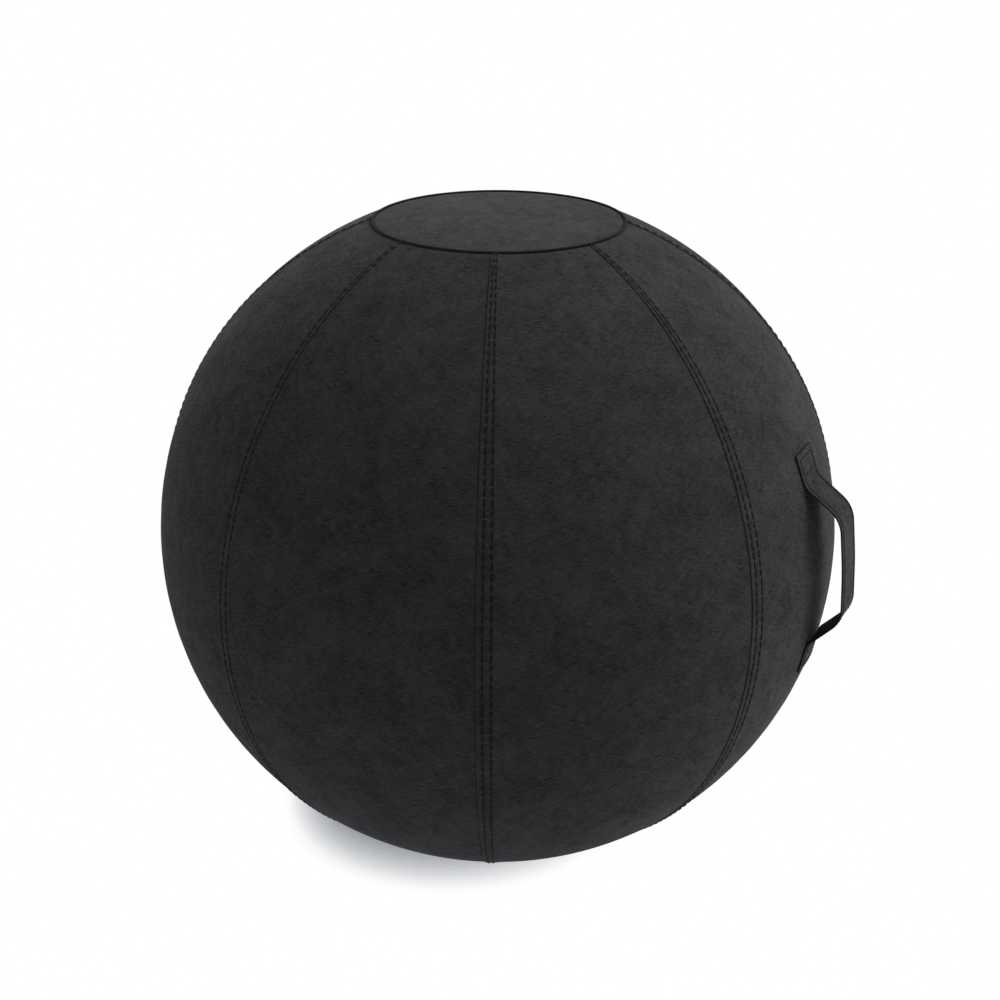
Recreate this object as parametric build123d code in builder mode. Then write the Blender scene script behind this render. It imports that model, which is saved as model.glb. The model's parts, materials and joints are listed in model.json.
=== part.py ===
"""Sitting ball: an inflated ball in a sewn fabric cover with a strap handle and a zip at the back.

Millimetres, +Z up. The origin is the middle of the base panel's underside, on the floor.
The handle is on +X. Latitudes are degrees above the ball's equator.
"""

import os
from math import acos, cos, degrees, radians, sin, sqrt

from build123d import *

os.makedirs("parts", exist_ok=True)

# Cover
ball_diameter = 650.0
gore_count = 8
cloth_thickness = 1.6
lap_width = 15.5
lap_rise = 0.7
top_seam_diameter = 231.0
base_seam_diameter = 231.0
piping_diameter = 4.0
piping_proud = 0.8
base_panel_thickness = 4.0
floor_clearance = 0.5
fit_gap = 0.3
cut_margin = 1.0

# Strap handle, sewn to the gore on +X
handle_latitude = 4.7
strap_width = 40.0
strap_thickness = 1.8
strap_span = 214.0
sewn_length = 31.0
grip_length = 97.0
grip_reach = 26.0
grip_bow = 1.5
bend_radius = 28.0
crease_radius = 18.0
bow_radius = 400.0
swing_length = 122.0
swing_gap = 0.4

# Zip in the seam between the third and the fourth gore
zip_seam = 3
zip_low_latitude = -54.0
zip_high_latitude = 15.0
zip_opening_width = 13.0
tape_width = 14.0
tape_thickness = 0.8
tape_end_length = 8.0
tooth_pitch = 5.0
tooth_thickness = 2.4
tooth_root = 2.5
neck_width = 1.6
head_width = 2.9
head_depth = 1.3
head_gap = 0.2
stop_length = 4.0
stop_gap = 0.5
slot_end_gap = 1.0

# Zip slider and its pull tab
slider_length = 13.0
slider_front_width = 11.0
slider_rear_width = 8.2
plate_thickness = 1.4
plate_gap = 0.4
flange_thickness = 0.9
wedge_width = 2.4
wedge_length = 4.5
pin_diameter = 1.8
pin_clearance = 0.08
ear_thickness = 1.2
eye_wall = 1.2
eye_width = 4.6
eye_side_gap = 0.3
pull_length = 30.0
pull_width = 8.0
pull_thickness = 1.6
pull_neck_length = 5.5
pull_corner_radius = 2.6
pull_hole_diameter = 4.0

# Inflated ball
bladder_wall = 1.0
dent_clearance = 0.6
valve_diameter = 18.0
valve_depth = 14.0
valve_flange_diameter = 32.0
valve_flange_thickness = 1.5
valve_clearance = 0.2
plug_head_diameter = 13.0
plug_head_thickness = 2.0
plug_top_diameter = 9.0
plug_tip_diameter = 7.0
plug_length = 10.0
plug_clearance = 0.15

# Sizes that follow
ball_radius = ball_diameter / 2
gore_angle = 360 / gore_count
lap_angle = degrees(lap_width / ball_radius)
piping_radius = piping_diameter / 2
top_seam_latitude = degrees(acos(top_seam_diameter / 2 / ball_radius))
base_seam_latitude = -degrees(acos(base_seam_diameter / 2 / ball_radius))
piping_ring_radius = ball_radius + piping_proud
base_piping_drop = piping_ring_radius * sin(radians(-base_seam_latitude))
ball_centre_height = base_piping_drop + piping_radius + floor_clearance
top_panel_height = ball_radius * sin(radians(top_seam_latitude))
gore_edge_angle = degrees((piping_radius + fit_gap) / ball_radius)
gore_high_latitude = top_seam_latitude - gore_edge_angle
gore_low_latitude = base_seam_latitude + gore_edge_angle
cover_inner_radius = ball_radius - cloth_thickness


def radial_plane(azimuth, tilt=0.0):
    """Return an upright plane through the ball's centre, with X outwards and Y upwards."""
    outward = Vector(1, 0, 0).rotate(Axis.Y, -tilt).rotate(Axis.Z, azimuth)
    across = Vector(0, -1, 0).rotate(Axis.Z, azimuth)
    return Plane(origin=(0, 0, ball_centre_height), x_dir=outward, z_dir=across)


def seam_azimuth(number):
    """Return where a gore seam runs, in degrees round +Z from +X."""
    return (number - 0.5) * gore_angle


def polar_point(radius, latitude):
    """Return a point of a radial plane."""
    return (radius * cos(radians(latitude)), radius * sin(radians(latitude)))


def arc_band(inner_radius, outer_radius, low_latitude, high_latitude):
    """Draw a band round the ball's centre, between two latitudes of a radial plane."""
    with BuildLine() as outline:
        outer = CenterArc((0, 0), outer_radius, low_latitude, high_latitude - low_latitude)
        inner = CenterArc((0, 0), inner_radius, low_latitude, high_latitude - low_latitude)
        Line(outer @ 0, inner @ 0)
        Line(outer @ 1, inner @ 1)
    make_face(outline.edges())


def keep(piece, name):
    """Label a finished piece and write its file."""
    piece.label = name
    export_step(piece, f"parts/{name}.step")


# Zip layout, in the radial plane of its seam
zip_plane = radial_plane(seam_azimuth(zip_seam))
zip_half_opening = zip_opening_width / 2
tape_reach = tooth_root + tape_width
tape_outer_radius = sqrt((cover_inner_radius - fit_gap) ** 2 - tape_reach**2)
tape_inner_radius = tape_outer_radius - tape_thickness
chain_radius = (tape_outer_radius + tape_inner_radius) / 2
chain_base_radius = chain_radius - tooth_thickness / 2


def chain_angle(length):
    """Return the angle that a length along the zip's teeth takes up."""
    return degrees(length / chain_radius)


slider_drop = slider_length / 2 + stop_gap + stop_length + slot_end_gap
slider_latitude = zip_high_latitude - chain_angle(slider_drop)
top_stop_latitude = slider_latitude + chain_angle(slider_length / 2 + stop_gap)
bottom_stop_latitude = zip_low_latitude + chain_angle(stop_length + stop_gap)
first_tooth_latitude = bottom_stop_latitude + chain_angle(tooth_pitch / 2)
tooth_count = int((slider_latitude - first_tooth_latitude) / chain_angle(tooth_pitch))
slider_travel = slider_latitude - bottom_stop_latitude - chain_angle(slider_length / 2 + stop_gap)

# Gores of the cover, each with the raised lap of its felled seam
for number in range(1, gore_count + 1):
    fold_plane = radial_plane(seam_azimuth(number - 1))
    with BuildPart() as gore_panel:
        with BuildSketch(fold_plane):
            arc_band(cover_inner_radius, ball_radius, gore_low_latitude, gore_high_latitude)
        revolve(axis=Axis.Z, revolution_arc=gore_angle)
        with BuildSketch(fold_plane):
            arc_band(cover_inner_radius, ball_radius + lap_rise, gore_low_latitude, gore_high_latitude)
        revolve(axis=Axis.Z, revolution_arc=lap_angle)
        if number in (zip_seam, zip_seam + 1):
            cut_radius = ball_radius + lap_rise + cut_margin
            with BuildSketch(zip_plane):
                arc_band(tape_inner_radius, cut_radius, zip_low_latitude, zip_high_latitude)
            extrude(amount=zip_half_opening, both=True, mode=Mode.SUBTRACT)
    keep(gore_panel.part, f"gore_panel_{number}")

# Round panels at the top and the base
with BuildPart() as top_panel:
    with BuildSketch(Plane.XY.offset(ball_centre_height + top_panel_height)):
        Circle(top_seam_diameter / 2 - piping_radius - fit_gap)
    extrude(amount=-cloth_thickness)
keep(top_panel.part, "top_panel")

with BuildPart() as base_panel:
    with BuildSketch(Plane.XY):
        Circle(base_seam_diameter / 2 - piping_radius - fit_gap)
    extrude(amount=base_panel_thickness)
keep(base_panel.part, "base_panel")

# Piping cords in the seams round the panels
for name, latitude in (("top_piping", top_seam_latitude), ("base_piping", base_seam_latitude)):
    with BuildPart() as piping:
        with BuildSketch(radial_plane(0)):
            with Locations(polar_point(piping_ring_radius, latitude)):
                Circle(piping_radius)
        revolve(axis=Axis.Z)
    keep(piping.part, name)

# Strap handle, drawn from its upper end to its lower end along the face next to the ball
handle_plane = radial_plane(0, handle_latitude)
strap_end_angle = degrees(strap_span / 2 / ball_radius)
sewn_angle = degrees(sewn_length / ball_radius)
crease_angle = strap_end_angle - sewn_angle
strap_face_radius = (ball_radius + fit_gap) / cos(radians(sewn_angle / 2))
grip_face = ball_radius + grip_reach - strap_thickness
crease_point = polar_point(strap_face_radius, crease_angle)
bend_point = (grip_face - grip_bow, grip_length / 2)
strap_points = [
    polar_point(strap_face_radius, strap_end_angle),
    crease_point,
    bend_point,
    (grip_face, 0),
    (bend_point[0], -bend_point[1]),
    (crease_point[0], -crease_point[1]),
    polar_point(strap_face_radius, -strap_end_angle),
]
strap_radii = [crease_radius, bend_radius, bow_radius, bend_radius, crease_radius]


def strap(low, high):
    """Make the stretch of the strap between two heights in the handle's plane."""
    reach = ball_radius + grip_reach + cut_margin
    with BuildPart() as stretch:
        with BuildSketch(handle_plane):
            with BuildLine():
                FilletPolyline(*strap_points, radius=strap_radii)
                offset(amount=strap_thickness, side=Side.LEFT)
            make_face()
            with Locations((reach / 2, (low + high) / 2)):
                Rectangle(reach, high - low, mode=Mode.INTERSECT)
        extrude(amount=strap_width / 2, both=True)
    return stretch.part


swing_edge = swing_length / 2
tab_edge = swing_edge + swing_gap
keep(strap(-swing_edge, swing_edge), "handle_loop")
keep(strap(tab_edge, strap_span), "handle_upper_tab")
keep(strap(-strap_span, -tab_edge), "handle_lower_tab")

# Zip tapes, one to each side of the teeth
tape_end_angle = chain_angle(tape_end_length)
for name, side in (("zip_tape_right", 1), ("zip_tape_left", -1)):
    with BuildPart() as tape:
        with BuildSketch(zip_plane.offset(side * tooth_root)):
            arc_band(
                tape_inner_radius,
                tape_outer_radius,
                zip_low_latitude - tape_end_angle,
                zip_high_latitude + tape_end_angle,
            )
        extrude(amount=side * tape_width)
    keep(tape.part, name)

# Zip teeth: a neck on the tape's edge and a wider head that locks behind the other row's heads
head_start = head_gap / 2
head_tip = head_start + head_depth
for name, side, shift in (("zip_teeth_right", 1, 0.0), ("zip_teeth_left", -1, tooth_pitch / 2)):
    row_start = first_tooth_latitude + chain_angle(shift)
    row_range = chain_angle(tooth_pitch) * (tooth_count - 1)
    with BuildPart() as teeth:
        with BuildSketch(zip_plane.offset(side * tooth_root)):
            with PolarLocations(chain_radius, tooth_count, row_start, row_range, endpoint=True):
                Rectangle(tooth_thickness, neck_width)
        extrude(amount=-side * (tooth_root + head_start))
        with BuildSketch(zip_plane.offset(-side * head_start)):
            with PolarLocations(chain_radius, tooth_count, row_start, row_range, endpoint=True):
                Rectangle(tooth_thickness, head_width)
        extrude(amount=-side * head_depth)
    keep(teeth.part, name)

# Stops at the two ends of the teeth
with BuildPart() as top_stops:
    for side in (1, -1):
        with BuildSketch(zip_plane.offset(side * tooth_root)):
            with PolarLocations(chain_radius, 1, top_stop_latitude + chain_angle(stop_length / 2)):
                Rectangle(tooth_thickness, stop_length)
        extrude(amount=-side * head_depth)
keep(top_stops.part, "zip_top_stops")

with BuildPart() as bottom_stop:
    with BuildSketch(zip_plane):
        with PolarLocations(chain_radius, 1, bottom_stop_latitude - chain_angle(stop_length / 2)):
            Rectangle(tooth_thickness, stop_length)
    extrude(amount=tooth_root, both=True)
keep(bottom_stop.part, "zip_bottom_stop")

# Zip slider: two plates joined by a wedge, with flanges that leave a slot for the tapes
slider_up = Vector(0, 0, 1).rotate(Axis((0, 0, 0), zip_plane.z_dir), slider_latitude)
slider_out = zip_plane.x_dir.rotate(Axis((0, 0, 0), zip_plane.z_dir), slider_latitude)
slider_centre = zip_plane.origin + slider_out * chain_radius
slider_plane = Plane(origin=slider_centre, x_dir=slider_up, z_dir=slider_out)
upper_plate_base = tooth_thickness / 2 + plate_gap
slot_edge = tape_thickness / 2 + fit_gap
slider_top = upper_plate_base + plate_thickness
eye_radius = pin_diameter / 2 + pin_clearance + eye_wall
pin_height = slider_top + eye_radius + fit_gap
ear_start = eye_width / 2 + eye_side_gap


def slider_outline(inset=0.0):
    """Draw the slider seen from outside, wide at the front where the two rows part."""
    front = slider_front_width / 2 - inset
    rear = slider_rear_width / 2 - inset
    half = slider_length / 2
    with BuildLine() as outline:
        Polyline((half, -front), (half, front), (-half, rear), (-half, -rear), close=True)
    make_face(outline.edges())


with BuildPart() as zip_slider:
    for side in (1, -1):
        with BuildSketch(slider_plane.offset(side * upper_plate_base)):
            slider_outline()
        extrude(amount=side * plate_thickness)
        with BuildSketch(slider_plane.offset(side * slot_edge)):
            slider_outline()
            with BuildSketch(mode=Mode.PRIVATE) as channel:
                slider_outline(flange_thickness)
            add(channel.sketch, mode=Mode.SUBTRACT)
        extrude(amount=side * (upper_plate_base - slot_edge))
    with BuildSketch(slider_plane.offset(-upper_plate_base)):
        with BuildLine():
            wedge_front = slider_length / 2
            Polyline(
                (wedge_front, -wedge_width / 2),
                (wedge_front, wedge_width / 2),
                (wedge_front - wedge_length, 0),
                close=True,
            )
        make_face()
    extrude(amount=2 * upper_plate_base)
    for side in (1, -1):
        with BuildSketch(slider_plane.offset(slider_top)):
            with Locations((0, side * (ear_start + ear_thickness / 2))):
                Rectangle(2 * eye_radius, ear_thickness)
        extrude(amount=pin_height - slider_top + eye_radius)
    pin_plane = Plane(origin=slider_centre + slider_out * pin_height, x_dir=slider_up, z_dir=zip_plane.z_dir)
    with BuildSketch(pin_plane):
        Circle(pin_diameter / 2)
    extrude(amount=ear_start + ear_thickness / 2, both=True)
keep(zip_slider.part, "zip_slider")

# Pull tab, hanging from the slider's pin over the closed teeth
with BuildPart() as zip_pull:
    with BuildSketch(pin_plane):
        Circle(eye_radius)
    extrude(amount=eye_width / 2, both=True)
    with BuildSketch(pin_plane.offset(-eye_width / 2)):
        with Locations((-pull_neck_length / 2, 0)):
            Rectangle(pull_neck_length, pull_thickness)
    extrude(amount=eye_width)
    with BuildSketch(pin_plane.offset(-pull_width / 2)):
        with Locations((-(pull_neck_length + pull_length) / 2, 0)):
            Rectangle(pull_length - pull_neck_length, pull_thickness)
    extrude(amount=pull_width)
    tab_end = zip_pull.faces().sort_by(Axis((0, 0, 0), slider_up))[0]
    fillet(tab_end.edges().filter_by(Axis((0, 0, 0), slider_out)), pull_corner_radius)
    with BuildSketch(pin_plane):
        Circle(pin_diameter / 2 + pin_clearance)
    extrude(amount=eye_width, both=True, mode=Mode.SUBTRACT)
    hole_plane = Plane(origin=pin_plane.origin, x_dir=slider_up, z_dir=slider_out)
    with BuildSketch(hole_plane):
        with Locations((pull_width / 2 - pull_length, 0)):
            Circle(pull_hole_diameter / 2)
    extrude(amount=pull_thickness, both=True, mode=Mode.SUBTRACT)
keep(zip_pull.part, "zip_pull")

# Bladder of the inflated ball, dented where the zip presses into it
bladder_radius = tape_inner_radius - fit_gap
bladder_top = top_panel_height - cloth_thickness
bladder_base = base_panel_thickness - ball_centre_height
dent_radius = chain_base_radius - plate_gap - plate_thickness - dent_clearance
dent_low = zip_low_latitude - tape_end_angle
dent_high = zip_high_latitude + tape_end_angle
dent_wall_angle = degrees(bladder_wall / dent_radius)


def bladder_section(inset=0.0):
    """Draw half of the bladder's upright section, flat where the two round panels press on it."""
    width = bladder_radius
    height = bladder_top - bladder_base - 2 * inset
    Circle(bladder_radius - inset)
    with Locations((width / 2, (bladder_top + bladder_base) / 2)):
        Rectangle(width, height, mode=Mode.INTERSECT)


valve_plane = Plane(
    origin=(0, bladder_radius, ball_centre_height),
    x_dir=(1, 0, 0),
    z_dir=(0, 1, 0),
)
valve_radius = valve_diameter / 2

with BuildPart() as bladder:
    with BuildSketch(radial_plane(0)):
        bladder_section()
    revolve(axis=Axis.Z)
    with BuildSketch(radial_plane(0)):
        bladder_section(bladder_wall)
    revolve(axis=Axis.Z, mode=Mode.SUBTRACT)
    with BuildSketch(zip_plane):
        arc_band(
            dent_radius - bladder_wall,
            bladder_radius - bladder_wall / 2,
            dent_low - dent_wall_angle,
            dent_high + dent_wall_angle,
        )
    extrude(amount=zip_half_opening + bladder_wall, both=True)
    with BuildSketch(zip_plane):
        arc_band(dent_radius, ball_radius, dent_low, dent_high)
    extrude(amount=zip_half_opening, both=True, mode=Mode.SUBTRACT)
    with BuildSketch(valve_plane):
        Circle(valve_radius + valve_clearance)
    extrude(amount=valve_depth, both=True, mode=Mode.SUBTRACT)
keep(bladder.part, "bladder")

# Valve socket, with its flange on the inside of the wall, and the plug pushed into it
flange_sag = bladder_radius - sqrt(bladder_radius**2 - (valve_flange_diameter / 2) ** 2)
flange_top = -(bladder_wall + flange_sag + valve_clearance)
socket_top = -(bladder_radius - sqrt(bladder_radius**2 - valve_radius**2))
with BuildPart() as valve_socket:
    with BuildSketch(valve_plane.offset(socket_top)):
        Circle(valve_radius)
    extrude(amount=-valve_depth)
    with BuildSketch(valve_plane.offset(flange_top)):
        Circle(valve_flange_diameter / 2)
    extrude(amount=-valve_flange_thickness)
    with BuildSketch(valve_plane.offset(socket_top)):
        Circle(plug_head_diameter / 2 + plug_clearance)
    extrude(amount=-(plug_head_thickness + plug_clearance), mode=Mode.SUBTRACT)
    with BuildSketch(valve_plane.offset(socket_top)):
        Circle(plug_top_diameter / 2 + plug_clearance)
    with BuildSketch(valve_plane.offset(socket_top - valve_depth)):
        Circle(plug_tip_diameter / 2 + plug_clearance)
    loft(mode=Mode.SUBTRACT)
keep(valve_socket.part, "valve_socket")

tip_share = plug_length / valve_depth
tip_diameter = plug_top_diameter + (plug_tip_diameter - plug_top_diameter) * tip_share
with BuildPart() as valve_plug:
    with BuildSketch(valve_plane.offset(socket_top)):
        Circle(plug_head_diameter / 2)
    extrude(amount=-plug_head_thickness)
    with BuildSketch(valve_plane.offset(socket_top)):
        Circle(plug_top_diameter / 2)
    with BuildSketch(valve_plane.offset(socket_top - plug_length)):
        Circle(tip_diameter / 2)
    loft()
keep(valve_plug.part, "valve_plug")

# Joint axes
riser_share = (crease_point[1] - swing_edge) / (crease_point[1] - bend_point[1])
swing_axis_reach = crease_point[0] + (bend_point[0] - crease_point[0]) * riser_share + strap_thickness / 2
swing_axis_point = handle_plane.from_local_coords(Vector(swing_axis_reach, 0, 0))
print("ball centre height", round(ball_centre_height, 3))
print("handle swings about", tuple(swing_axis_point), "along", tuple(handle_plane.y_dir))
print("zip slides about", tuple(zip_plane.origin), "along", tuple(-zip_plane.z_dir))
print("zip slides by", round(slider_travel, 2), "degrees")
print("pull tab flips about", tuple(pin_plane.origin), "along", tuple(pin_plane.z_dir))
print("teeth in a row", tooth_count)
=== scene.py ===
# %% [markdown]
# # A sitting ball in a sewn cover
#
# This lesson dresses a sitting ball: an inflated ball inside a cover of eight cloth gores, with a round
# panel at the top and the base, a strap handle and a zip at the back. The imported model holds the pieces,
# their places and their joints, and it is never moved. Blender gives each piece its cloth, thread or
# plastic. Lengths are metres in the ball's own frame: +Z is up, the floor is Z = 0, the handle is on +X.

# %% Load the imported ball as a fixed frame
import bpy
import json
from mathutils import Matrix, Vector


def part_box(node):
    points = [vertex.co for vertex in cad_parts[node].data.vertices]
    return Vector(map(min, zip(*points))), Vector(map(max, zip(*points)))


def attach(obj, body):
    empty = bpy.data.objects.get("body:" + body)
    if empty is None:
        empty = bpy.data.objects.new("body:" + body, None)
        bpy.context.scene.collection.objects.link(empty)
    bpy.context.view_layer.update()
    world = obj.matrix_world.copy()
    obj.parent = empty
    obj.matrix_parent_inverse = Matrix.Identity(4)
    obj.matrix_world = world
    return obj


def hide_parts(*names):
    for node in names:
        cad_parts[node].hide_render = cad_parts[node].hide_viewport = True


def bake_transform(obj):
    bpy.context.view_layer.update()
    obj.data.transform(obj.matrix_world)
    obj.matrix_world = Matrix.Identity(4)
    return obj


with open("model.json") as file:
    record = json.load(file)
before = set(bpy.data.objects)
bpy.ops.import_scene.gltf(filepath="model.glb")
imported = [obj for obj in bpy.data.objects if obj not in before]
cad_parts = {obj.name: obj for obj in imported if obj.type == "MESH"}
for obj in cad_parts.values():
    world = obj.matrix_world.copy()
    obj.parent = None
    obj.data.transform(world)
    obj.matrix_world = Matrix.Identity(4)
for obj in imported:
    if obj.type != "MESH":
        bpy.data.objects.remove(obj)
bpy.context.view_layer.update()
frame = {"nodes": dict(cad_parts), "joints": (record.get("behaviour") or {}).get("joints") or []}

# %% Read the ball's main sizes from the frame
import json
from math import asin, atan2, ceil, cos, hypot, pi, radians, sin, sqrt, tan

import bpy
from mathutils import Quaternion, Vector

scene = bpy.context.scene
mm = 0.001
joints = {joint["name"]: joint for joint in frame["joints"]}
ball_centre = Vector(joints["zip_slide"]["pos_m"])
ball_radius = 325 * mm
gore_count = 8
gore_angle = 2 * pi / gore_count
cloth_thickness = 1.6 * mm
print("ball centre", tuple(ball_centre), "radius", ball_radius)

# %% [markdown]
# ## The camera
#
# The camera comes first, because every later choice is judged through it. Its direction and lens were
# worked out from the outline of the ball and the ring of the top panel in the photograph. The lens could
# be shifted to frame the ball a little low, but turning the camera up by as much needs no shift.

# %% Place the camera at the photograph's viewing angle
camera_azimuth = radians(25.664)
camera_elevation = radians(23.735)
camera_distance = 1.7107
camera_roll = radians(0.268)
frame_pixels = 1000
focal_pixels = 1741.6
ball_pixel = (497.9, 524.1)
sensor_millimetres = 36.0

camera_back = Vector((
    sin(camera_azimuth) * cos(camera_elevation),
    -cos(camera_azimuth) * cos(camera_elevation),
    sin(camera_elevation),
))
camera_right = Vector((cos(camera_azimuth), sin(camera_azimuth), 0))
camera_up = camera_back.cross(camera_right)
pixel_size = camera_distance / focal_pixels
aim = ball_centre + camera_right * (frame_pixels / 2 - ball_pixel[0]) * pixel_size
aim += camera_up * (ball_pixel[1] - frame_pixels / 2) * pixel_size

camera = bpy.data.objects.new("camera", bpy.data.cameras.new("camera"))
scene.collection.objects.link(camera)
scene.camera = camera
camera.data.sensor_width = sensor_millimetres
camera.data.lens = focal_pixels / frame_pixels * sensor_millimetres
camera.location = ball_centre + camera_back * camera_distance
camera.rotation_mode = "QUATERNION"
look = (aim - camera.location).to_track_quat("-Z", "Y")
camera.rotation_quaternion = look @ Quaternion((0, 0, 1), camera_roll)
print("camera at", tuple(round(x, 3) for x in camera.location), "lens", round(camera.data.lens, 2), "mm")

# %% [markdown]
# ## One helper for every node
#
# Materials and Geometry Nodes trees are both built from nodes. One function adds a node, sets its
# settings, and fills its inputs with values or links. A colour is written as its sRGB hex value, as a
# paint card gives it, and one function turns it to the linear values that the renderer works in. Every
# finish ends alike, so one more function blends its two colours, raises its relief and fills the shader.

# %% Add a node, and read a colour
def add_node(tree, kind, inputs=None, **settings):
    """Add a node with its settings. An input takes a value, a socket, or a node for its first output."""
    node = tree.nodes.new(kind)
    for name, value in settings.items():
        setattr(node, name, value)
    for key, value in (inputs or {}).items():
        if isinstance(value, bpy.types.Node):
            value = value.outputs[0]
        if isinstance(value, bpy.types.NodeSocket):
            tree.links.new(value, node.inputs[key])
        else:
            node.inputs[key].default_value = value
    return node


def linear(hex_colour):
    """Turn an sRGB hex colour into the linear RGBA that shaders take."""
    shares = [int(hex_colour[i:i + 2], 16) / 255 for i in (1, 3, 5)]
    return tuple(s / 12.92 if s <= 0.04045 else ((s + 0.055) / 1.055) ** 2.4 for s in shares) + (1.0,)


print("charcoal in linear light:", [round(x, 4) for x in linear("#38383a")[:3]])


# %% Start and end a material
def start_material(name):
    """Make an empty node material and return it with its tree."""
    material = bpy.data.materials.new(name)
    material.use_nodes = True
    material.node_tree.nodes.clear()
    return material, material.node_tree


def end_material(tree, tone, dark, light, height, strength, depth, skin):
    """End a material: a tone blends two hex colours, a height makes bumps, and skin fills other sockets."""
    shade = add_node(tree, "ShaderNodeMix", {0: tone, 6: linear(dark), 7: linear(light)}, data_type="RGBA")
    relief = add_node(tree, "ShaderNodeBump", {"Height": height, "Strength": strength, "Distance": depth})
    surface = add_node(tree, "ShaderNodeBsdfPrincipled", {
        "Base Color": shade.outputs[2], "Normal": relief, **skin})
    add_node(tree, "ShaderNodeOutputMaterial", {"Surface": surface})


print("materials so far:", len(bpy.data.materials))

# %% [markdown]
# ## Floor and light
#
# The photograph has a white ground with one small soft shadow, close to the ball on its left. A white
# floor could be lit until it clips, but that light would also wash out the dark cloth. So the floor shows
# the camera white, darkened only where the ball closes it in: an Ambient Occlusion node asks how much of
# the space beside a point is open, and leans to the right, where the lamps are. To all other rays it is a
# pale matt floor, which throws some of the lamps' light up at the ball. Wide sun lamps give soft, even
# studio light.

# %% Tell seen rays from bounced light
def seen_directly(tree):
    """Return a socket that is 1 for camera, glossy and transmission rays, and 0 for bounced light."""
    light_path = add_node(tree, "ShaderNodeLightPath").outputs
    seen = light_path["Is Camera Ray"]
    for kind in ("Is Glossy Ray", "Is Transmission Ray"):
        seen = add_node(tree, "ShaderNodeMath", {0: seen, 1: light_path[kind]}, operation="MAXIMUM")
    return seen


print("seen rays: camera, glossy and transmission")

# %% Lay the floor
floor_half = 20.0
shadow_reach = 75 * mm
shadow_lean = radians(60)
shadow_azimuth = radians(15)
shadow_samples = 32
closed_share = 0.3
open_share = 0.6
floor_material, tree = start_material("pale_matt_floor")
lean = add_node(tree, "ShaderNodeCombineXYZ", {
    "X": sin(shadow_lean) * cos(shadow_azimuth), "Y": sin(shadow_lean) * sin(shadow_azimuth),
    "Z": cos(shadow_lean)})
openness = add_node(tree, "ShaderNodeAmbientOcclusion", {
    "Distance": shadow_reach, "Normal": lean}, samples=shadow_samples)
light_share = add_node(tree, "ShaderNodeMapRange", {
    "Value": openness.outputs["AO"], "From Min": closed_share, "From Max": open_share})
shade = add_node(tree, "ShaderNodeMix", {
    0: light_share, 6: linear("#747b85"), 7: linear("#ffffff")}, data_type="RGBA")
white_ground = add_node(tree, "ShaderNodeEmission", {"Color": shade.outputs[2]})
matt_floor = add_node(tree, "ShaderNodeBsdfDiffuse", {"Color": linear("#d5d5d5")})
both = add_node(tree, "ShaderNodeMixShader", {0: seen_directly(tree), 1: matt_floor, 2: white_ground})
add_node(tree, "ShaderNodeOutputMaterial", {"Surface": both})

floor_mesh = bpy.data.meshes.new("floor")
corners = [(-floor_half, -floor_half, 0), (floor_half, -floor_half, 0), (floor_half, floor_half, 0),
           (-floor_half, floor_half, 0)]
floor_mesh.from_pydata(corners, [], [(0, 1, 2, 3)])
floor_mesh.materials.append(floor_material)
floor = bpy.data.objects.new("floor", floor_mesh)
scene.collection.objects.link(floor)
print("floor", 2 * floor_half, "m square")

# %% Hang the lamps and set the world
lamps = {
    "key_lamp": {"azimuth": 70, "elevation": 45, "spread": 50, "strength": 1.19},
    "side_lamp": {"azimuth": 28, "elevation": 55, "spread": 40, "strength": 1.10},
    "low_side_lamp": {"azimuth": 28, "elevation": 25, "spread": 30, "strength": 0.83},
    "right_fill": {"azimuth": -20, "elevation": 12, "spread": 60, "strength": 0.28},
    "left_fill": {"azimuth": -120, "elevation": 15, "spread": 60, "strength": 0.70},
}
world_level = 0.07


def hang_lamp(name, azimuth, elevation, spread, strength):
    """Add a wide sun lamp that shines from an azimuth and an elevation, in degrees."""
    lamp = bpy.data.objects.new(name, bpy.data.lights.new(name, "SUN"))
    lamp.data.energy = strength
    lamp.data.angle = radians(spread)
    around, above = radians(azimuth), radians(elevation)
    source = Vector((cos(around) * cos(above), sin(around) * cos(above), sin(above)))
    lamp.rotation_mode = "QUATERNION"
    lamp.rotation_quaternion = source.to_track_quat("Z", "Y")
    scene.collection.objects.link(lamp)


for name, setting in lamps.items():
    hang_lamp(name, **setting)

scene.world = bpy.data.worlds.new("studio")
scene.world.use_nodes = True
tree = scene.world.node_tree
tree.nodes.clear()
level = add_node(tree, "ShaderNodeMapRange", {
    "Value": seen_directly(tree), "To Min": world_level, "To Max": 1.0})
sky = add_node(tree, "ShaderNodeBackground", {"Color": linear("#ffffff"), "Strength": level})
add_node(tree, "ShaderNodeOutputWorld", {"Surface": sky})
scene.view_settings.view_transform = "Standard"
print("lamps:", list(lamps))

# %% [markdown]
# ## The cover's cloth
#
# The cover is a woven polyester with a brushed face, dyed charcoal. Brushing lifts short fibres, so the
# cloth has no shine of its own, but its edges glow a little where light grazes the fibres: that is the
# shader's sheen. The pile lies unevenly and gives soft patches about 15 mm wide, and under it the weave
# shows as short crossed streaks. The pattern reads a UV map in metres that follows each cut piece, so
# the threads run straight along a gore and stop at its seam, as they do on cut cloth. Real threads are
# about 0.4 mm wide. They are drawn at 0.65 mm here, or the render could not show them.

# %% Brushed woven polyester
nap_patch = 15 * mm
nap_cloud = 50 * mm
thread_width = 0.65 * mm
weft_slub = 7 * mm
warp_slub = 3 * mm
tone_level = 0.35
cloth_uv = "cloth"


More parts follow.
